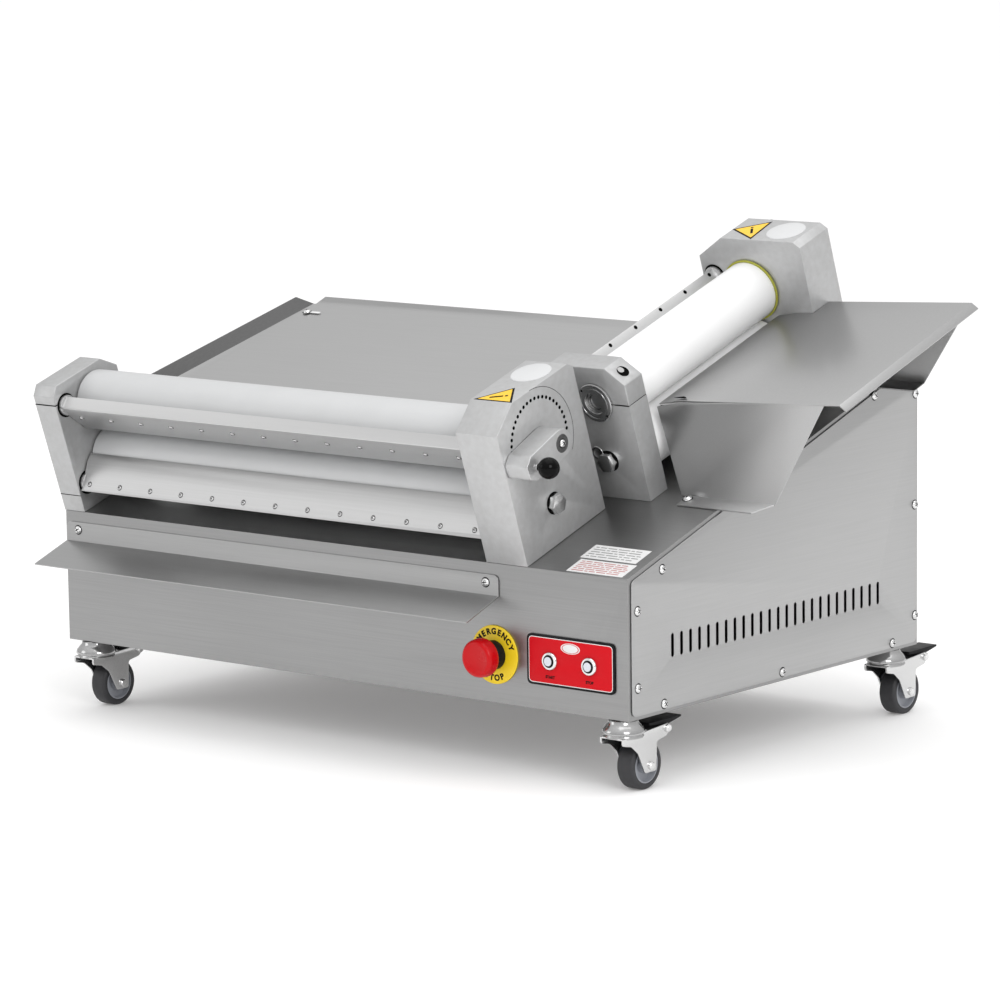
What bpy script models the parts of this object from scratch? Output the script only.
"""Dough sheeter on casters: two crossed roller pairs on a sloping deck.

Frames, all in metres.  "machine" stands on the cabinet's bottom front left corner, X to the right,
Y to the back, Z up.  "deck" lies on the sloping deck: X to the right, Y up the slope, Z out of it.
Each roller pair has a frame of its own: X away from its scraper side, Y along the rollers, Z out of
the deck.  The front pair's rollers run across the machine, the feed pair's run up the slope.
"""
import math

import bmesh
import bpy
from mathutils import Matrix, Vector

# Cabinet
WIDTH = 0.775
DEPTH = 0.505
FRONT_HEIGHT = 0.1425
SLOPE = math.radians(18.6)
RIDGE_Y = 0.450
RIDGE_Z = FRONT_HEIGHT + RIDGE_Y * math.tan(SLOPE)
BACK_HEIGHT = 0.283
SHEET = 0.0015
GAP = 0.0003
RIM = 0.024
COVER_INSET = 0.004

# Side covers
VENTS = 25
VENT_FIRST_Y = 0.070
VENT_PITCH = 0.01495
VENT_Z = 0.067
VENT_HEIGHT = 0.024
VENT_WIDTH = 0.0048

# Roller pairs, in a pair's own frame
ROLLER_X = 0.060
UPPER_Z = 0.1085
LOWER_Z = 0.0425
ROLLER_RADIUS = 0.032
CORE_RADIUS = 0.022
JOURNAL_RADIUS = 0.008
END_PLAY = 0.0015
GAP_TRAVEL = 0.006
GEAR_PITCH_RADIUS = (UPPER_Z - LOWER_Z) / 2
GEAR_TEETH = 16
SPROCKET_RADIUS = 0.0245
SPROCKET_TEETH = 12
CHAIN_INNER_RADIUS = 0.0252
CHAIN_OUTER_RADIUS = 0.0305
DRIVE_SHAFT_Z = -0.062

# Scraper bars, in a pair's own frame
BAR_X = 0.0152
BAR_Z = 0.1215
BAR_SIDE = 0.014
BAR_TILT = math.radians(-52)
BAR_HOLE_RADIUS = 0.0115
BAR_END_RADIUS = 0.0111
BLADE = 0.0012
NIP_Z = (UPPER_Z + LOWER_Z) / 2

# End blocks
BLOCK_HEIGHT = 0.147
BLOCK_DEPTH = 0.102
BLOCK_THICKNESS = 0.030
HOUSING_HEIGHT = 0.166
HOUSING_DEPTH = 0.134
HOUSING_THICKNESS = 0.053
HOUSING_WALL = 0.008
CAP_SPLIT_FRONT_Z = 0.127
CAP_SPLIT_BACK_Z = 0.107
BORE_CLEARANCE = 0.0004

# Gap lever
HUB_Z = UPPER_Z + GAP_TRAVEL / 2
INDEX_RADIUS = 0.0443
LEVER_REST = math.radians(186.4)
LEVER_REACH = 0.0585
LEVER_HALF_WIDTH = 0.0147
LEVER_THICKNESS = 0.0285
KNOB_RADIUS = 0.011
PIN_RADIUS = 0.0014

# Front pair, in the deck frame
FRONT_LEFT_FACE = 0.031
FRONT_RIGHT_FACE = 0.5945

# Feed pair, in the deck frame
FEED_EDGE_X = 0.586
FEED_FRONT_FACE = 0.188
FEED_REAR_FACE = 0.440

# Hopper, in the deck frame
HOPPER_FRONT_Y = 0.177
HOPPER_TOP_Y = 0.222
HOPPER_REAR_Y = 0.467
HOPPER_NIP_EDGE = (0.6735, 0.0800)
HOPPER_BEND = (0.7000, 0.0850)
HOPPER_OUTER = (0.9010, 0.0965)
HOPPER_LIP = (0.9080, 0.0905)

# Casters
CASTER_HEIGHT = 0.075
WHEEL_RADIUS = 0.025
WHEEL_WIDTH = 0.020
TRAIL = 0.025
CASTER_LEFT_X = 0.030
CASTER_RIGHT_X = 0.757
CASTER_FRONT_Y = 0.012
CASTER_BACK_Y = 0.470

QUARTER = math.pi / 2

for stale in list(bpy.data.objects):
    bpy.data.objects.remove(stale, do_unlink=True)

PARTS = bpy.data.collections.new("dough_sheeter")
CUTTERS = bpy.data.collections.new("cutters")
bpy.context.scene.collection.children.link(PARTS)
bpy.context.scene.collection.children.link(CUTTERS)


# ---------------------------------------------------------------- materials

def make_material(name, color, metallic, roughness):
    material = bpy.data.materials.new(name)
    material.use_nodes = True
    shader = material.node_tree.nodes["Principled BSDF"]
    shader.inputs["Base Color"].default_value = (*color, 1.0)
    shader.inputs["Metallic"].default_value = metallic
    shader.inputs["Roughness"].default_value = roughness
    return material


STAINLESS = make_material("brushed_stainless", (0.50, 0.51, 0.52), 1.0, 0.34)
ALUMINIUM = make_material("cast_aluminium", (0.62, 0.63, 0.63), 1.0, 0.45)
STEEL = make_material("machined_steel", (0.45, 0.45, 0.46), 1.0, 0.30)
ZINC = make_material("zinc_plate", (0.70, 0.71, 0.73), 1.0, 0.25)
WHITE_PLASTIC = make_material("white_plastic", (0.86, 0.87, 0.88), 0.0, 0.35)
BLACK_PLASTIC = make_material("black_plastic", (0.02, 0.02, 0.02), 0.0, 0.25)
RED_PLASTIC = make_material("red_plastic", (0.75, 0.02, 0.02), 0.0, 0.30)
YELLOW_PLASTIC = make_material("yellow_plastic", (0.90, 0.72, 0.03), 0.0, 0.45)
PANEL_RED = make_material("panel_red", (0.66, 0.02, 0.03), 0.0, 0.40)
GREY_RUBBER = make_material("grey_rubber", (0.09, 0.09, 0.10), 0.0, 0.70)
MOTOR_GREY = make_material("motor_paint", (0.20, 0.23, 0.26), 0.0, 0.50)


# ---------------------------------------------------------------- frames

def make_frame(name, parent=None, location=(0, 0, 0), rotation=(0, 0, 0)):
    frame = bpy.data.objects.new(name, None)
    frame.parent = parent
    frame.location = location
    frame.rotation_euler = rotation
    PARTS.objects.link(frame)
    return frame


MACHINE = make_frame("machine")
DECK = make_frame("deck", MACHINE, (0, 0, FRONT_HEIGHT), (SLOPE, 0, 0))


class Pair:
    """One roller pair: its frame, the faces its rollers run between, and which way is outwards."""

    def __init__(self, name, frame, plain_face, drive_face):
        self.name = name
        self.frame = frame
        self.plain_face = plain_face
        self.drive_face = drive_face
        self.out = 1 if drive_face > plain_face else -1

    def drive(self, depth):
        """Y at a depth behind the drive housing's roller-side face."""
        return self.drive_face + self.out * depth

    def plain(self, depth):
        """Y at a depth behind the plain block's roller-side face."""
        return self.plain_face - self.out * depth


FRONT = Pair("front", make_frame("front_pair", DECK, (0, 0, 0), (0, 0, QUARTER)),
             -FRONT_LEFT_FACE, -FRONT_RIGHT_FACE)
FEED = Pair("feed", make_frame("feed_pair", DECK, (FEED_EDGE_X, 0, 0)),
            FEED_FRONT_FACE, FEED_REAR_FACE)


# ---------------------------------------------------------------- outlines

def arc(center, radius, start, end, steps):
    """Points on an arc, both ends included."""
    points = []
    for i in range(steps + 1):
        angle = start + (end - start) * i / steps
        points.append((center[0] + radius * math.cos(angle), center[1] + radius * math.sin(angle)))
    return points


def rounded(points, radius, steps=3):
    """A closed outline with its corners rounded."""
    result = []
    for i, corner in enumerate(points):
        here = Vector(corner)
        before = (Vector(points[i - 1]) - here).normalized()
        after = (Vector(points[(i + 1) % len(points)]) - here).normalized()
        half_angle = before.angle(after) / 2
        reach = radius / math.tan(half_angle)
        center = here + (before + after).normalized() * (radius / math.sin(half_angle))
        start = here + before * reach - center
        end = here + after * reach - center
        turn = start.angle_signed(end)
        for k in range(steps + 1):
            spoke = start.copy()
            spoke.rotate(Matrix.Rotation(-turn * k / steps, 2))
            result.append(tuple(center + spoke))
    return result


def rectangle(x0, z0, x1, z1):
    return [(x0, z0), (x1, z0), (x1, z1), (x0, z1)]


def inset(points, distance):
    """A convex counter-clockwise outline moved inwards by a distance."""
    result = []
    for i, corner in enumerate(points):
        here = Vector(corner)
        along_in = (here - Vector(points[i - 1])).normalized()
        along_out = (Vector(points[(i + 1) % len(points)]) - here).normalized()
        normal_in = Vector((-along_in.y, along_in.x))
        normal_out = Vector((-along_out.y, along_out.x))
        mitre = (normal_in + normal_out).normalized()
        result.append(tuple(here + mitre * (distance / mitre.dot(normal_in))))
    return result


def strip(points, thickness):
    """The outline of a folded sheet's edge, the sheet lying to the left of the given line."""
    far_side = []
    for i, corner in enumerate(points):
        here = Vector(corner)
        along_in = (here - Vector(points[i - 1])).normalized() if i else None
        along_out = (Vector(points[i + 1]) - here).normalized() if i < len(points) - 1 else None
        along_in = along_in or along_out
        along_out = along_out or along_in
        normal_in = Vector((-along_in.y, along_in.x))
        mitre = (normal_in + Vector((-along_out.y, along_out.x))).normalized()
        far_side.append(tuple(here + mitre * (thickness / mitre.dot(normal_in))))
    return list(points) + far_side[::-1]


def toothed(teeth, tip, root, tip_share, root_share, phase):
    """A wheel with straight-sided teeth; the shares are the fractions of a pitch that a tooth fills."""
    pitch = 2 * math.pi / teeth
    points = []
    for i in range(teeth):
        middle = phase + i * pitch
        for radius, share in ((root, -root_share), (tip, -tip_share), (tip, tip_share), (root, root_share)):
            angle = middle + share * pitch / 2
            points.append((radius * math.cos(angle), radius * math.sin(angle)))
    return points


# ---------------------------------------------------------------- solids

def place(obj, parent, location, material=None):
    """Parent an object to a frame, and file it as a part, or as a cutter if it has no material."""
    for collection in list(obj.users_collection):
        collection.objects.unlink(obj)
    obj.parent = parent
    obj.location = location
    if material:
        PARTS.objects.link(obj)
        obj.data.materials.clear()
        obj.data.materials.append(material)
    else:
        CUTTERS.objects.link(obj)
        obj.hide_render = True
        obj.display_type = "WIRE"
    return obj


def from_bmesh(name, bm):
    bmesh.ops.recalc_face_normals(bm, faces=bm.faces)
    mesh = bpy.data.meshes.new(name)
    bm.to_mesh(mesh)
    bm.free()
    mesh.shade_smooth()
    mesh.set_sharp_from_angle(angle=math.radians(35))
    return bpy.data.objects.new(name, mesh)


def prism(name, outline, y0, y1, parent, material=None, origin=(0, 0), holes=()):
    """A flat outline in X and Z, given from the origin, extruded along Y from y0 to y1."""
    curve = bpy.data.curves.new(name, "CURVE")
    curve.dimensions = "2D"
    curve.fill_mode = "BOTH"
    curve.extrude = abs(y1 - y0) / 2
    for loop in (outline, *holes):
        spline = curve.splines.new("POLY")
        spline.points.add(len(loop) - 1)
        for point, (x, z) in zip(spline.points, loop):
            point.co = (x, z, 0, 1)
        spline.use_cyclic_u = True
    flat = bpy.data.objects.new(name + "_outline", curve)
    bpy.context.scene.collection.objects.link(flat)
    evaluated = flat.evaluated_get(bpy.context.evaluated_depsgraph_get())
    mesh = bpy.data.meshes.new_from_object(evaluated)
    bpy.data.objects.remove(flat)
    bm = bmesh.new()
    bm.from_mesh(mesh)
    bmesh.ops.remove_doubles(bm, verts=bm.verts, dist=1e-6)
    bm.transform(Matrix.Rotation(QUARTER, 4, "X"))
    obj = from_bmesh(name, bm)
    return place(obj, parent, (origin[0], (y0 + y1) / 2, origin[1]), material)


AXIS_TURNS = {"X": Matrix.Rotation(QUARTER, 4, "Y"), "Y": Matrix.Rotation(-QUARTER, 4, "X"),
              "Z": Matrix.Identity(4)}


def turned(name, profile, axis, parent, location, material=None, steps=32):
    """A solid of revolution from (radius, height) pairs, top to bottom, its height along an axis."""
    bm = bmesh.new()
    corners = [bm.verts.new((radius, 0, height)) for radius, height in profile]
    for upper, lower in zip(corners, corners[1:]):
        bm.edges.new((upper, lower))
    mesh = bpy.data.meshes.new(name)
    bm.to_mesh(mesh)
    bm.free()
    obj = bpy.data.objects.new(name, mesh)
    screw = obj.modifiers.new("turn", "SCREW")
    screw.steps = steps
    screw.render_steps = steps
    screw.use_merge_vertices = True
    screw.merge_threshold = 1e-6
    bpy.context.scene.collection.objects.link(obj)
    evaluated = obj.evaluated_get(bpy.context.evaluated_depsgraph_get())
    solid = bpy.data.meshes.new_from_object(evaluated)
    bpy.data.objects.remove(obj)
    bm = bmesh.new()
    bm.from_mesh(solid)
    bmesh.ops.remove_doubles(bm, verts=bm.verts, dist=1e-6)
    bm.transform(AXIS_TURNS[axis])
    return place(from_bmesh(name, bm), parent, location, material)


def cylinders(name, radius, length, axis, spots, parent, material=None, segments=12):
    """Equal cylinders about an axis, centred on the given spots, in one mesh."""
    bm = bmesh.new()
    for spot in spots:
        bmesh.ops.create_cone(bm, cap_ends=True, segments=segments, radius1=radius, radius2=radius,
                              depth=length, matrix=Matrix.Translation(spot) @ AXIS_TURNS[axis])
    return place(from_bmesh(name, bm), parent, (0, 0, 0), material)


def box(name, low, high, parent, material=None):
    """A box between two corners, its origin in its middle."""
    size = Vector(high) - Vector(low)
    bm = bmesh.new()
    bmesh.ops.create_cube(bm, size=1.0, matrix=Matrix.Diagonal((*size, 1.0)))
    return place(from_bmesh(name, bm), parent, (Vector(low) + Vector(high)) / 2, material)


def combine(obj, operation, *others):
    for other in others:
        modifier = obj.modifiers.new(operation.lower(), "BOOLEAN")
        modifier.operation = operation
        modifier.solver = "EXACT"
        modifier.object = other
    return obj


def cut(obj, *cutters):
    return combine(obj, "DIFFERENCE", *cutters)


def join(obj, *additions):
    return combine(obj, "UNION", *additions)


def keep(obj, *regions):
    return combine(obj, "INTERSECT", *regions)


# ---------------------------------------------------------------- cabinet

# X of this frame runs to the machine's back, and its Y to the left, for profiles seen from the side.
PROFILE = make_frame("side_profile", MACHINE, (0, 0, 0), (0, 0, QUARTER))
SIDE_OUTLINE = [(0, 0), (DEPTH, 0), (DEPTH, BACK_HEIGHT), (RIDGE_Y, RIDGE_Z), (0, FRONT_HEIGHT)]
BODY_LEFT = SHEET + GAP
BODY_RIGHT = WIDTH - SHEET - GAP

ESTOP_X = 0.604
ESTOP_Z = 0.0495
PANEL_X = 0.702
PANEL_Z = 0.051
PANEL_SIZE = (0.111, 0.0515)
BUTTON_X = (0.6762, 0.7261)
BUTTON_RADIUS = 0.0056
BUTTON_HOLE = 0.006


def cabinet_shell():
    """Front, deck, back and bottom in one wrap, with a rim on each open side."""
    shell = prism("cabinet_shell", SIDE_OUTLINE, -BODY_RIGHT, -BODY_LEFT, PROFILE, STAINLESS)
    cavity = prism("shell_cavity", inset(SIDE_OUTLINE, SHEET), -BODY_RIGHT + SHEET,
                   -BODY_LEFT - SHEET, PROFILE)
    windows = prism("shell_windows", inset(SIDE_OUTLINE, RIM), -WIDTH, 0, PROFILE)
    chain_x = FRONT_RIGHT_FACE + HOUSING_THICKNESS / 2
    front_slot = box("front_chain_slot", (chain_x - 0.010, 0.024, -0.01),
                     (chain_x + 0.010, 0.096, 0.01), DECK)
    feed_x = FEED_EDGE_X + ROLLER_X
    feed_slot = box("feed_chain_slot", (feed_x - 0.035, 0.461, -0.01),
                    (feed_x + 0.035, 0.4725, 0.01), DECK)
    estop_hole = cylinders("estop_hole", 0.0113, 0.02, "Y", [(ESTOP_X, 0, ESTOP_Z)], MACHINE)
    button_holes = cylinders("button_holes", BUTTON_HOLE, 0.02, "Y",
                             [(x, 0, PANEL_Z) for x in BUTTON_X], MACHINE)
    cut(shell, cavity, windows, front_slot, feed_slot, estop_hole, button_holes)


def stadium(x, z, half_width, half_height, steps=6):
    """An upright slot with round ends."""
    straight = half_height - half_width
    return (arc((x, z + straight), half_width, 0, math.pi, steps)
            + arc((x, z - straight), half_width, math.pi, 2 * math.pi, steps))


def side_cover(name, x0, x1):
    """A screwed-on side plate with a row of vent slots."""
    outline = rounded(inset(SIDE_OUTLINE, COVER_INSET), 0.006)
    cover = prism(name, outline, -x1, -x0, PROFILE, STAINLESS)
    slots = [rectangle(VENT_FIRST_Y + i * VENT_PITCH - VENT_WIDTH / 2, VENT_Z - VENT_HEIGHT / 2,
                       VENT_FIRST_Y + i * VENT_PITCH + VENT_WIDTH / 2, VENT_Z + VENT_HEIGHT / 2)
             for i in range(VENTS)]
    cut(cover, prism(name + "_vents", slots[0], -x1 - 0.005, -x0 + 0.005, PROFILE, holes=slots[1:]))


def front_tray():
    """A shelf below the rollers, its back flange screwed to the cabinet's front."""
    edge = strip([(-0.052, 0.0895), (-GAP, 0.109), (-GAP, 0.131)], SHEET)
    tray = prism("front_tray", edge, -0.6105, -0.004, PROFILE, STAINLESS)
    corners = [(0.004, 0.070), (0.6105, 0.070), (0.6105, 0.131), (0.004, 0.131)]
    keep(tray, prism("tray_outline", rounded(corners, 0.006), -0.06, 0.01, MACHINE))


def slide_plate():
    """The sheet that carries the dough from the feed rollers down to the front rollers."""
    left, right, low, high = 0.010, 0.583, 0.066, 0.402
    pitch = math.radians(14.6)
    frame = make_frame("slide", MACHINE, (left, low, 0.243), (pitch, 0, 0))
    length = (high - low) / math.cos(pitch)
    width = right - left
    plate = prism("slide_plate", strip([(width, 0), (0, 0), (-0.026, 0.0065)], SHEET),
                  0, length, frame, STAINLESS)
    side_view = make_frame("slide_side", frame, (0, 0, 0), (0, 0, QUARTER))
    back_edge = strip([(length + 0.017, 0.0025), (length - 0.002, 0)], SHEET)
    lip = prism("slide_back_lip", back_edge, -width, -0.004, side_view)
    join(plate, lip)
    for name, x in (("slide_left_leg", 0.030), ("slide_right_leg", right - SHEET)):
        leg = [(0.150, GAP), (0.400, GAP), (0.400, 0.0522), (0.150, 0.0698)]
        join(plate, prism(name, leg, -x - SHEET, -x, FRONT.frame))
    cut(plate, box("slide_notch", (-0.03, 0, 0.02), (FRONT_LEFT_FACE + 0.001, BLOCK_DEPTH + 0.001, 0.15),
                   DECK))


def hopper():
    """The loading tray: a floor on two end walls, whose flanges are screwed to the deck."""
    line = [HOPPER_NIP_EDGE, HOPPER_BEND, HOPPER_OUTER, HOPPER_LIP]
    floor = prism("hopper", strip(line[::-1], SHEET), HOPPER_TOP_Y - 0.001, HOPPER_REAR_Y + 0.003,
                  DECK, STAINLESS)
    slope = (HOPPER_OUTER[1] - HOPPER_BEND[1]) / (HOPPER_OUTER[0] - HOPPER_BEND[0])
    front_right = 0.8810
    rear_right = 0.9000
    under = SHEET / 2

    def top_at(x):
        return HOPPER_BEND[1] + (x - HOPPER_BEND[0]) * slope - under

    front_region = [(0.718, -0.005), (0.828, -0.005), (front_right, top_at(front_right)),
                    (HOPPER_BEND[0], top_at(HOPPER_BEND[0])),
                    (HOPPER_NIP_EDGE[0] + 0.0015, HOPPER_NIP_EDGE[1] - under)]
    rear_region = [(0.7225, -0.005), (0.820, -0.005), (rear_right, top_at(rear_right)),
                   (0.7225, top_at(0.7225))]
    lean = (HOPPER_TOP_Y - HOPPER_FRONT_Y) / 0.090
    front_edge = strip([(0.155, GAP), (HOPPER_FRONT_Y, GAP), (HOPPER_FRONT_Y + 0.11 * lean, 0.11)],
                       SHEET)
    front_wall = prism("hopper_front_wall", front_edge, -0.92, -0.66, FRONT.frame)
    plan = make_frame("deck_plan", DECK, (0, 0, 0), (QUARTER, 0, 0))
    flange_outline = [(0.723, 0.150), (0.813, 0.150), (0.830, 0.1762), (0.93, 0.1762), (0.93, 0.26),
                      (0.65, 0.26), (0.65, 0.1762), (0.723, 0.1762)]
    keep(front_wall, prism("hopper_front_region", front_region, 0.14, 0.26, DECK),
         prism("hopper_flange_region", [(x, -y) for x, y in flange_outline], -0.01, 0.15, plan))
    rear_edge = strip([(0.447, GAP), (HOPPER_REAR_Y, GAP), (HOPPER_REAR_Y, 0.11)], SHEET)
    rear_wall = prism("hopper_rear_wall", rear_edge, -0.92, -0.70, FRONT.frame)
    keep(rear_wall, prism("hopper_rear_region", rear_region, 0.43, 0.49, DECK))
    notch = box("hopper_notch", (0.60, FEED_REAR_FACE - 0.0006, 0.04),
                (FEED_EDGE_X + HOUSING_DEPTH + 0.0008, 0.52, 0.15), DECK)
    join(floor, front_wall, rear_wall)
    cut(floor, notch)


# ---------------------------------------------------------------- end blocks

BLOCK_OUTLINE = [(0, 0), (BLOCK_DEPTH, 0), (BLOCK_DEPTH, 0.130), (0.080, BLOCK_HEIGHT),
                 (0.008, BLOCK_HEIGHT), (0, 0.137)]
HOUSING_OUTLINE = [(0, 0), (HOUSING_DEPTH, 0), (HOUSING_DEPTH, 0.160), (0.126, HOUSING_HEIGHT),
                   (0.033, HOUSING_HEIGHT), (0, 0.144)]
LOWER_BAR_Z = 2 * NIP_Z - BAR_Z


def lifted(outline, z):
    return [(x, max(height, z)) for x, height in outline]


def plain_block(pair):
    """The thin end block: a body and a cap, split through the scraper bar's hole and the bush."""
    split = [(-0.01, CAP_SPLIT_FRONT_Z), (BAR_X, CAP_SPLIT_FRONT_Z), (0.040, CAP_SPLIT_BACK_Z),
             (BLOCK_DEPTH + 0.01, CAP_SPLIT_BACK_Z)]
    half_gap = 0.00025
    below = [(x, z - half_gap) for x, z in split] + [(BLOCK_DEPTH + 0.01, -0.01), (-0.01, -0.01)]
    above = [(x, z + half_gap) for x, z in split] + [(BLOCK_DEPTH + 0.01, 0.2), (-0.01, 0.2)]
    outer, inner = pair.plain(BLOCK_THICKNESS), pair.plain(0)
    bores = plain_bores(pair)
    for suffix, region in (("block", below), ("block_cap", above)):
        name = f"{pair.name}_{suffix}"
        block = prism(name, lifted(BLOCK_OUTLINE, GAP), inner, outer, pair.frame, ALUMINIUM)
        keep(block, prism(name + "_region", region, min(inner, outer) - 0.01,
                          max(inner, outer) + 0.01, pair.frame))
        cut(block, *bores)


def plain_bores(pair):
    name = pair.name
    bar_depth = 0.012
    bars = cylinders(f"{name}_bar_bores", BAR_HOLE_RADIUS, 2 * bar_depth, "Y",
                     [(BAR_X, pair.plain(0), z) for z in (BAR_Z, LOWER_BAR_Z)], pair.frame)
    journal = cylinders(f"{name}_journal_bore", JOURNAL_RADIUS + BORE_CLEARANCE, 0.038, "Y",
                        [(ROLLER_X, pair.plain(0), LOWER_Z)], pair.frame)
    slot = stadium(ROLLER_X, UPPER_Z + GAP_TRAVEL / 2, BUSH_RADIUS + BORE_CLEARANCE,
                   BUSH_RADIUS + BORE_CLEARANCE + GAP_TRAVEL / 2, 8)
    bush = prism(f"{name}_bush_bore", slot, pair.plain(-0.01), pair.plain(0.05), pair.frame)
    bolt = cylinders(f"{name}_bolt_bore", BOLT_RADIUS + BORE_CLEARANCE, 0.02, "Y",
                     [(ROLLER_X, pair.plain(BLOCK_THICKNESS), LOWER_Z)], pair.frame)
    oil = cylinders(f"{name}_oil_hole", 0.0062, 0.02, "Y",
                    [(0.0465, pair.plain(BLOCK_THICKNESS), 0.0500)], pair.frame)
    tilt = math.atan2(0.130 - BLOCK_HEIGHT, BLOCK_DEPTH - 0.080)
    chamfer = make_frame(f"{name}_chamfer", pair.frame,
                         (0.091, pair.plain(BLOCK_THICKNESS / 2), 0.1385), (0, -tilt, 0))
    screw = cylinders(f"{name}_clamp_bore", 0.0048, 0.016, "Z", [(0, 0, 0)], chamfer)
    return bars, journal, bush, bolt, oil, screw


def drive_housing(pair):
    """The thick end block: a hollow casting over the gears and the chain, open to the deck."""
    name = pair.name
    housing = prism(f"{name}_housing", lifted(HOUSING_OUTLINE, GAP), pair.drive(0),
                    pair.drive(HOUSING_THICKNESS), pair.frame, ALUMINIUM)
    hollow = [(x, -0.01 if z < 0.02 else z) for x, z in inset(HOUSING_OUTLINE, HOUSING_WALL)]
    cavity = prism(f"{name}_cavity", hollow, pair.drive(HOUSING_WALL),
                   pair.drive(HOUSING_THICKNESS - HOUSING_WALL), pair.frame)
    bars = cylinders(f"{name}_bar_holes", BAR_HOLE_RADIUS, 2 * HOUSING_WALL + 0.002, "Y",
                     [(BAR_X, pair.drive(0), z) for z in (BAR_Z, LOWER_BAR_Z)], pair.frame)
    seal = 0.011
    lower = cylinders(f"{name}_lower_bore", seal, 2 * HOUSING_WALL + 0.002, "Y",
                      [(ROLLER_X, pair.drive(0), LOWER_Z)], pair.frame)
    upper = prism(f"{name}_upper_slot", stadium(ROLLER_X, UPPER_Z + GAP_TRAVEL / 2, seal,
                                                seal + GAP_TRAVEL / 2),
                  pair.drive(-0.01), pair.drive(HOUSING_WALL + 0.001), pair.frame)
    wall_middle = pair.drive(HOUSING_THICKNESS - HOUSING_WALL / 2)
    hub = cylinders(f"{name}_hub_bore", HUB_RADIUS + BORE_CLEARANCE, HOUSING_WALL + 0.002, "Y",
                    [(ROLLER_X, wall_middle, HUB_Z)], pair.frame)
    cut(housing, cavity, bars, lower, upper, hub)
    if pair is FRONT:
        cut(housing, cylinders(f"{name}_axle_bore", BOLT_RADIUS + BORE_CLEARANCE,
                               HOUSING_WALL + 0.002, "Y", [(ROLLER_X, wall_middle, LOWER_Z)],
                               pair.frame))


# ---------------------------------------------------------------- rollers and their drive

BUSH_RADIUS = 0.0130
BUSH_FLANGE_RADIUS = 0.021
HUB_RADIUS = 0.010
BOLT_RADIUS = 0.006
ECCENTRIC_PIN_RADIUS = 0.004
GEAR_DEPTHS = (0.010, 0.020)
SPROCKET_DEPTHS = (0.025, 0.029)
CHAIN_DEPTHS = (0.024, 0.030)


def at_depths(pair, depths):
    return pair.drive(depths[0]), pair.drive(depths[1])


def roller(pair, level, z, plain_depth, drive_depth):
    """A plastic sleeve on a steel shaft that carries its gear; the shaft's bore is for a stub bolt."""
    middle = (pair.plain_face + pair.drive_face) / 2
    origin = (ROLLER_X, middle, z)
    start = pair.plain(-END_PLAY) - middle
    end = pair.drive(-END_PLAY) - middle
    bore = CORE_RADIUS + 2 * GAP
    sleeve = [(bore, start), (ROLLER_RADIUS, start), (ROLLER_RADIUS, end), (bore, end), (bore, start)]
    turned(f"{pair.name}_{level}_sleeve", sleeve, "Y", pair.frame, origin, WHITE_PLASTIC, 24)
    plain_end = pair.plain(plain_depth) - middle
    drive_end = pair.drive(drive_depth) - middle
    inward = pair.out * GAP
    shaft = [(0, plain_end), (JOURNAL_RADIUS, plain_end), (JOURNAL_RADIUS, start + inward),
             (CORE_RADIUS, start + inward), (CORE_RADIUS, end - inward),
             (JOURNAL_RADIUS, end - inward), (JOURNAL_RADIUS, drive_end)]
    if level == "lower" and pair is FRONT:
        socket = drive_end - pair.out * 0.009
        shaft += [(BOLT_RADIUS + BORE_CLEARANCE, drive_end), (BOLT_RADIUS + BORE_CLEARANCE, socket),
                  (0, socket)]
    else:
        shaft += [(0, drive_end)]
    core = turned(f"{pair.name}_{level}_shaft", shaft, "Y", pair.frame, origin, STEEL, 14)
    phase = -QUARTER if level == "upper" else QUARTER + math.pi / GEAR_TEETH
    teeth = toothed(GEAR_TEETH, GEAR_PITCH_RADIUS + 0.0030, GEAR_PITCH_RADIUS - 0.0044, 0.24, 0.62,
                    phase)
    join(core, prism(f"{core.name}_gear", teeth, *at_depths(pair, GEAR_DEPTHS), pair.frame,
                     origin=(ROLLER_X, z)))
    if level == "lower":
        join(core, sprocket(core.name, pair, z))


def sprocket(shaft_name, pair, z):
    outline = toothed(SPROCKET_TEETH, SPROCKET_RADIUS, SPROCKET_RADIUS - 0.004, 0.25, 0.60, 0)
    return prism(shaft_name + "_sprocket", outline, *at_depths(pair, SPROCKET_DEPTHS), pair.frame,
                 origin=(ROLLER_X, z))


def bush(pair):
    """The flanged bush that carries the upper roller's plain end and rides up and down with it."""
    face = BLOCK_THICKNESS + GAP
    bore = JOURNAL_RADIUS + BORE_CLEARANCE
    ring = [(0.0115, face + 0.003), (BUSH_FLANGE_RADIUS, face + 0.003),
            (BUSH_FLANGE_RADIUS, face), (BUSH_RADIUS, face),
            (BUSH_RADIUS, 0.001), (bore, 0.001), (bore, face + 0.001), (0.0115, face + 0.001),
            (0.0115, face + 0.003)]
    profile = [(radius, -pair.out * depth) for radius, depth in ring]
    turned(f"{pair.name}_bush", profile, "Y", pair.frame, (ROLLER_X, pair.plain(0), UPPER_Z), STEEL, 16)


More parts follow.
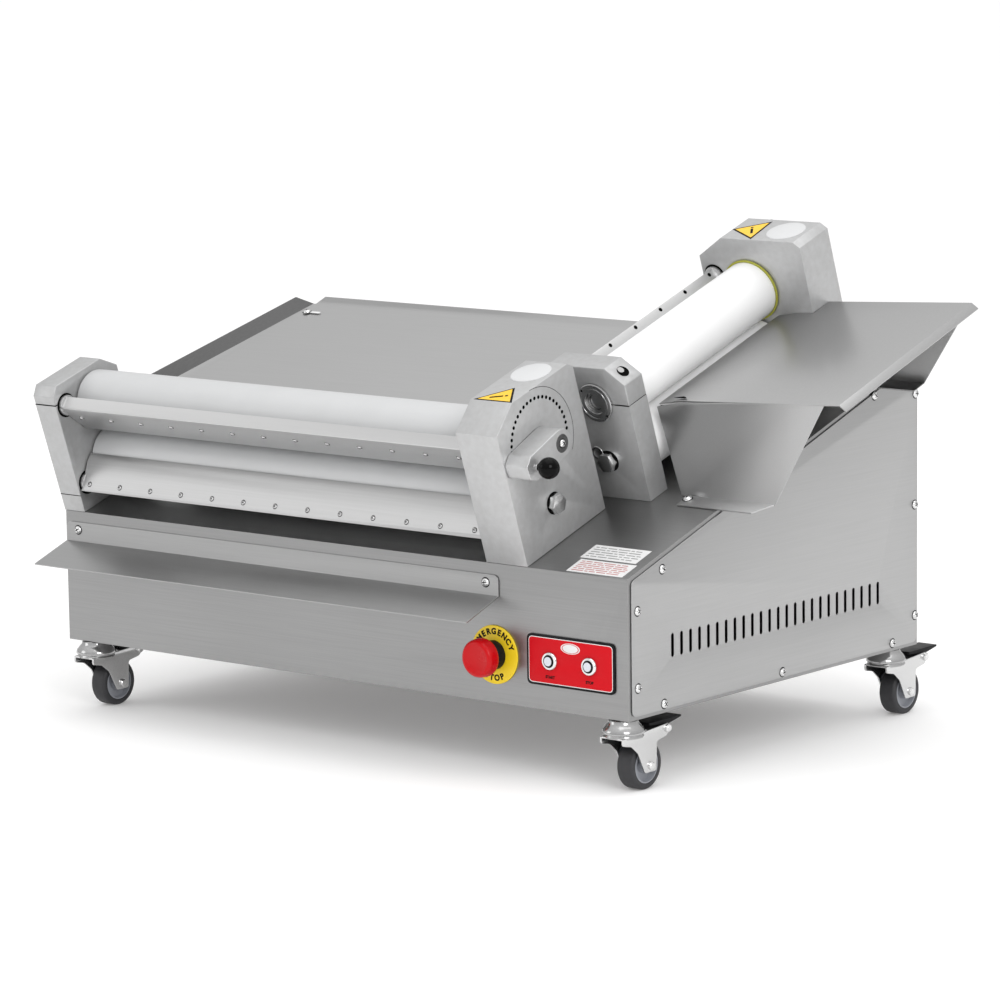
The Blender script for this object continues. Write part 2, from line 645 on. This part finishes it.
def carriage(pair):
    """The bearing plate at the upper roller's drive end, lifted by the lever's eccentric pin."""
    half_width, half_height = 0.020, 0.017
    low, high = 0.0262, 0.0360
    plate = prism(f"{pair.name}_carriage", rounded(rectangle(-half_width, -half_height, half_width,
                                                             half_height), 0.004),
                  pair.drive(low), pair.drive(high), pair.frame, STEEL, (ROLLER_X, UPPER_Z))
    bearing = cylinders(f"{plate.name}_bore", JOURNAL_RADIUS + BORE_CLEARANCE, 0.0106, "Y",
                        [(ROLLER_X, pair.drive(low), UPPER_Z)], pair.frame)
    play = 0.0010
    reach = ECCENTRIC_PIN_RADIUS + GAP_TRAVEL / 2 + play
    lift = ECCENTRIC_PIN_RADIUS + play
    slot = prism(f"{plate.name}_slot", rectangle(-reach, -lift, reach, lift), pair.drive(0.0324),
                 pair.drive(0.040), pair.frame, origin=(ROLLER_X, UPPER_Z))
    cut(plate, bearing, slot)


def gap_lever(pair):
    """The cast lever that sets the gap: arm, hub shaft and eccentric pin in one piece."""
    base = HOUSING_THICKNESS + GAP
    top = base + LEVER_THICKNESS
    arm = arc((0, 0), LEVER_HALF_WIDTH, QUARTER, 3 * QUARTER, 8)
    arm += [(LEVER_REACH - 0.010, -0.0138), (LEVER_REACH, -0.0070), (LEVER_REACH, 0.0070),
            (LEVER_REACH - 0.010, 0.0138)]
    turn = Matrix.Rotation(LEVER_REST, 2)
    outline = [tuple(turn @ Vector(point)) for point in arm]
    hub = (ROLLER_X, HUB_Z)
    lever = prism(f"{pair.name}_lever", outline, pair.drive(base), pair.drive(top), pair.frame,
                  ALUMINIUM, hub)
    inner = 0.0385
    shaft = cylinders(f"{lever.name}_hub", HUB_RADIUS, base + 0.002 - inner, "Y",
                      [(hub[0], pair.drive((base + 0.002 + inner) / 2), hub[1])], pair.frame)
    pin = cylinders(f"{lever.name}_pin", ECCENTRIC_PIN_RADIUS, 0.0060, "Y",
                    [(hub[0], pair.drive(0.0365), UPPER_Z)], pair.frame)
    plunger = plunger_spot()
    bore = cylinders(f"{lever.name}_bore", 0.0034, 0.08, "Y",
                     [(plunger[0], pair.drive(top), plunger[1])], pair.frame)
    join(lever, shaft, pin)
    cut(lever, bore)


def plunger_spot():
    return (ROLLER_X + INDEX_RADIUS * math.cos(LEVER_REST), HUB_Z + INDEX_RADIUS * math.sin(LEVER_REST))


def knob(pair):
    """The ball knob on its spring plunger, whose pin faces the index holes and stops short of them."""
    face = HOUSING_THICKNESS + GAP + LEVER_THICKNESS + GAP
    center = face + 0.0145
    neck = 0.004
    neck_angle = math.asin(neck / KNOB_RADIUS)
    ball = [(KNOB_RADIUS * math.sin(angle), center + KNOB_RADIUS * math.cos(angle))
            for angle in (i * (math.pi - neck_angle) / 6 for i in range(7))]
    ball[0] = (0, ball[0][1])
    tip = HOUSING_THICKNESS + GAP
    stem = [(neck, face), (0.003, face), (0.003, tip + 0.003), (PIN_RADIUS, tip + 0.003),
            (PIN_RADIUS, tip), (0, tip)]
    x, z = plunger_spot()
    profile = [(radius, pair.out * (depth - face)) for radius, depth in ball + stem]
    turned(f"{pair.name}_lever_knob", profile, "Y", pair.frame, (x, pair.drive(face), z),
           BLACK_PLASTIC, 12)


def scraper(pair, level):
    """A square bar with turned ends, and the blade that lies along the roller."""
    half = BAR_SIDE / 2
    if level == "upper":
        tip = [(0.038, -half - BLADE), (0.038, -half)]
        heel = 0.009
    else:
        bend, reach, turn = 0.0234, 0.0080, math.radians(19.5)
        end = (bend + reach * math.cos(turn), reach * math.sin(turn) - half - BLADE)
        tip = [(bend, -half - BLADE), end, (end[0], end[1] + BLADE), (bend, -half)]
        heel = 0.0115
    edge = [(-half, half), (-half, -half), (-heel, -half), (-heel, -half - BLADE), *tip, (half, -half),
            (half, half)]
    turn = Matrix.Rotation(BAR_TILT, 2)
    outline = [tuple(turn @ Vector(point)) for point in edge]
    z = BAR_Z
    if level == "lower":
        outline = [(x, -height) for x, height in outline]
        z = LOWER_BAR_Z
    bar = prism(f"{pair.name}_{level}_scraper", outline, pair.plain(-END_PLAY), pair.drive(-END_PLAY),
                pair.frame, ALUMINIUM, (BAR_X, z))
    for side, face, depth in (("plain", pair.plain, 0.010), ("drive", pair.drive, 0.0065)):
        length = depth + END_PLAY + 0.002
        middle = (depth - END_PLAY - 0.002) / 2
        join(bar, cylinders(f"{bar.name}_{side}_end", BAR_END_RADIUS, length, "Y",
                            [(BAR_X, face(middle), z)], pair.frame, segments=16))


def chain(pair):
    """The drive chain as a plain closed band round both sprockets."""
    middle = (LOWER_Z + DRIVE_SHAFT_Z) / 2
    half = (LOWER_Z - DRIVE_SHAFT_Z) / 2
    outer = stadium(0, 0, CHAIN_OUTER_RADIUS, half + CHAIN_OUTER_RADIUS, 8)
    inner = stadium(0, 0, CHAIN_INNER_RADIUS, half + CHAIN_INNER_RADIUS, 8)
    prism(f"{pair.name}_chain", outer, *at_depths(pair, CHAIN_DEPTHS), pair.frame, STEEL,
          (ROLLER_X, middle), [inner])


def drive_shaft(pair, outer_depth, gearbox_depth):
    """The gearbox's output shaft and the sprocket on it."""
    start, end = pair.drive(outer_depth), pair.drive(gearbox_depth)
    middle = (start + end) / 2
    half = abs(end - start) / 2
    profile = [(0, half), (JOURNAL_RADIUS, half), (JOURNAL_RADIUS, -half), (0, -half)]
    shaft = turned(f"{pair.name}_drive_shaft", profile,
                   "Y", pair.frame, (ROLLER_X, middle, DRIVE_SHAFT_Z), STEEL, 14)
    join(shaft, sprocket(shaft.name, pair, DRIVE_SHAFT_Z))


def hex_bolt(pair, face, out, shank):
    """The bolt on the lower roller's axis; its shank reaches inwards from the face."""
    head = 0.0075
    across_corners = 0.0109
    bolt = cylinders(f"{pair.name}_axle_bolt", across_corners, head, "Y",
                     [(ROLLER_X, face + out * (GAP + head / 2), LOWER_Z)], pair.frame, ZINC, segments=6)
    stem = cylinders(f"{bolt.name}_shank", BOLT_RADIUS, shank, "Y",
                     [(ROLLER_X, face - out * (shank / 2 - 0.001), LOWER_Z)], pair.frame)
    join(bolt, stem)


GEARBOX_LOW = (0.634, 0.025, -0.104)
GEARBOX_HIGH = (0.700, 0.258, -SHEET - GAP)
MOTOR_Y = 0.205


def drive_unit():
    """The right-angle gearbox bolted up under the deck, and the motor on its left side."""
    gearbox = box("gearbox", GEARBOX_LOW, GEARBOX_HIGH, DECK, MOTOR_GREY)
    bore = JOURNAL_RADIUS + BORE_CLEARANCE
    front_bore = cylinders("gearbox_front_bore", bore, 0.048, "X",
                           [(GEARBOX_LOW[0], ROLLER_X, DRIVE_SHAFT_Z)], DECK)
    feed_bore = cylinders("gearbox_feed_bore", bore, 0.044, "Y",
                          [(FEED_EDGE_X + ROLLER_X, GEARBOX_HIGH[1], DRIVE_SHAFT_Z)], DECK)
    cut(gearbox, front_bore, feed_bore)
    length = 0.200
    radius = 0.050
    collar = 0.043
    profile = [(0, length / 2), (collar, length / 2), (collar, length / 2 - 0.012),
               (radius, length / 2 - 0.020), (radius, -length / 2 + 0.040), (collar, -length / 2 + 0.034),
               (collar, -length / 2 + 0.008), (0.036, -length / 2), (0, -length / 2)]
    turned("motor", profile, "X", DECK,
           (GEARBOX_LOW[0] - GAP - length / 2, MOTOR_Y, DRIVE_SHAFT_Z), MOTOR_GREY, 16)


# ---------------------------------------------------------------- controls

def controls():
    """Emergency stop with its legend ring, and the start and stop panel, on the cabinet's front."""
    def on_front(name, profile, x, z, y, material, steps=16):
        """Heights in the profile count forwards from the cabinet's front."""
        mirrored = [(radius, -height) for radius, height in profile]
        return turned(name, [(r, h - y) for r, h in mirrored], "Y", MACHINE, (x, y, z), material, steps)

    ring_face = GAP + SHEET
    on_front("estop_ring", [(0.030, ring_face), (0.030, GAP), (0.0113, GAP), (0.0113, ring_face),
                            (0.030, ring_face)], ESTOP_X, ESTOP_Z, 0, YELLOW_PLASTIC, 24)
    collar = ring_face + GAP
    on_front("estop_body", [(0.0046, 0.0125), (0.0140, 0.0125), (0.0150, 0.0110), (0.0150, collar),
                            (0.0108, collar), (0.0108, -0.050), (0.0046, -0.050), (0.0046, 0.0125)],
             ESTOP_X, ESTOP_Z, 0, BLACK_PLASTIC)
    on_front("estop_mushroom", [(0, 0.0320), (0.0090, 0.0312), (0.0155, 0.0285), (0.0190, 0.0240),
                                (0.0200, 0.0195), (0.0190, 0.0178), (0.0042, 0.0178),
                                (0.0042, -0.040), (0, -0.040)], ESTOP_X, ESTOP_Z, 0, RED_PLASTIC)
    half_x, half_z = PANEL_SIZE[0] / 2, PANEL_SIZE[1] / 2
    panel = prism("control_panel", rounded(rectangle(-half_x, -half_z, half_x, half_z), 0.004),
                  -ring_face, -GAP, MACHINE, PANEL_RED, (PANEL_X, PANEL_Z))
    bezel = cylinders("panel_bezels", 0.0082, 0.0040, "Y",
                      [(x, -ring_face - 0.0010, PANEL_Z) for x in BUTTON_X], MACHINE, segments=16)
    holes = cylinders("panel_holes", BUTTON_HOLE, 0.03, "Y", [(x, 0, PANEL_Z) for x in BUTTON_X],
                      MACHINE)
    join(panel, bezel)
    cut(panel, holes)
    for name, x in zip(("start_button", "stop_button"), BUTTON_X):
        on_front(name, [(0, 0.0068), (0.0046, 0.0066), (BUTTON_RADIUS, 0.0058), (BUTTON_RADIUS, -0.030),
                        (0, -0.030)], x, PANEL_Z, 0, WHITE_PLASTIC, 14)


# ---------------------------------------------------------------- casters

FORK_SIDE = 0.0125
FORK_SHEET = 0.0020
PEDAL_PIVOT = (0.053, -0.0165)


def caster(name, x, y):
    """A swivel caster trailing to the back: domed fork with its axle, wheel, and brake pedal."""
    swivel = make_frame(name + "_swivel", MACHINE, (x, y, 0))
    side_view = make_frame(name + "_side", swivel, (0, 0, 0), (0, 0, QUARTER))
    hub_z = WHEEL_RADIUS - CASTER_HEIGHT
    dome = [(0, -GAP), (0.0160, -GAP), (0.0235, -0.0125), (0.0235, -0.0180), (0, -0.0180)]
    fork = turned(name + "_fork", dome, "Z", swivel, (0, 0, 0), ZINC, 14)
    plate = [(-0.0190, -0.0170), (-0.0190, -0.0215), (0.0020, -0.0290), (0.0190, -0.0560),
             (0.0320, -0.0560), (0.0330, -0.0265), (0.0570, -0.0205), (0.0585, -0.0140),
             (0.0545, -0.0125)]
    for side in (1, -1):
        inner = side * FORK_SIDE
        join(fork, prism(f"{fork.name}_plate_{side}", plate, inner, inner + side * FORK_SHEET, side_view))
    axle = FORK_SIDE + FORK_SHEET + 0.0025
    join(fork, cylinders(f"{fork.name}_axle", 0.0035, 2 * axle, "X", [(0, TRAIL, hub_z)], swivel,
                         segments=8))
    caster_wheel(name, swivel, hub_z)
    caster_pedal(name, side_view)


def caster_wheel(name, swivel, hub_z):
    half = WHEEL_WIDTH / 2
    web = 0.0045
    hub = half + 0.0015
    side = [(0.0039, hub), (0.0090, hub), (0.0090, web), (0.0185, web), (0.0185, half),
            (WHEEL_RADIUS, half - 0.0020)]
    other_side = [(radius, -height) for radius, height in side[::-1]]
    turned(name + "_wheel", side + other_side + side[:1], "X", swivel, (0, TRAIL, hub_z), GREY_RUBBER,
           14)


def caster_pedal(name, side_view):
    """The brake pedal, seen from the side, hinged on its pin between the fork's arms."""
    pivot_y, pivot_z = PEDAL_PIVOT
    top = [(-0.0260, 0.0085), (-0.0260, 0.0065), (-0.0060, 0.0045), (-0.0035, -0.0050),
           (0.0030, -0.0060), (0.0050, 0.0030), (0.0265, 0.0070), (0.0265, 0.0090)]
    half = FORK_SIDE - 0.0005
    prism(name + "_pedal", top, -half, half, side_view, BLACK_PLASTIC, (pivot_y, pivot_z))


def build():
    cabinet_shell()
    side_cover("side_cover_right", WIDTH - SHEET, WIDTH)
    side_cover("side_cover_left", 0, SHEET)
    front_tray()
    slide_plate()
    hopper()
    for pair in (FRONT, FEED):
        plain_block(pair)
        drive_housing(pair)
        roller(pair, "upper", UPPER_Z, 0.0285, 0.0310)
        roller(pair, "lower", LOWER_Z, 0.0180, 0.0390)
        bush(pair)
        carriage(pair)
        gap_lever(pair)
        knob(pair)
        scraper(pair, "upper")
        scraper(pair, "lower")
        chain(pair)
    drive_shaft(FRONT, 0.022, GEARBOX_LOW[0] - FRONT_RIGHT_FACE + 0.018)
    drive_shaft(FEED, 0.032, GEARBOX_HIGH[1] - FEED_REAR_FACE - 0.018)
    hex_bolt(FRONT, FRONT.drive(HOUSING_THICKNESS), FRONT.out, 0.020)
    hex_bolt(FEED, FEED.plain(BLOCK_THICKNESS), -FEED.out, 0.010)
    drive_unit()
    controls()
    for side, x in (("left", CASTER_LEFT_X), ("right", CASTER_RIGHT_X)):
        caster("front_" + side, x, CASTER_FRONT_Y)
        caster("back_" + side, x, CASTER_BACK_Y)


def stand_on_floor():
    """Puts the middle of the machine's box over the origin, and its casters on Z = 0."""
    bpy.context.view_layer.update()
    graph = bpy.context.evaluated_depsgraph_get()
    corners = []
    for obj in PARTS.objects:
        if obj.type == "MESH":
            solid = obj.evaluated_get(graph)
            corners += [solid.matrix_world @ Vector(corner) for corner in solid.bound_box]
    low = [min(corner[i] for corner in corners) for i in range(3)]
    high = [max(corner[i] for corner in corners) for i in range(3)]
    MACHINE.location = (-(low[0] + high[0]) / 2, -(low[1] + high[1]) / 2, -low[2])


build()
stand_on_floor()
bpy.context.view_layer.update()
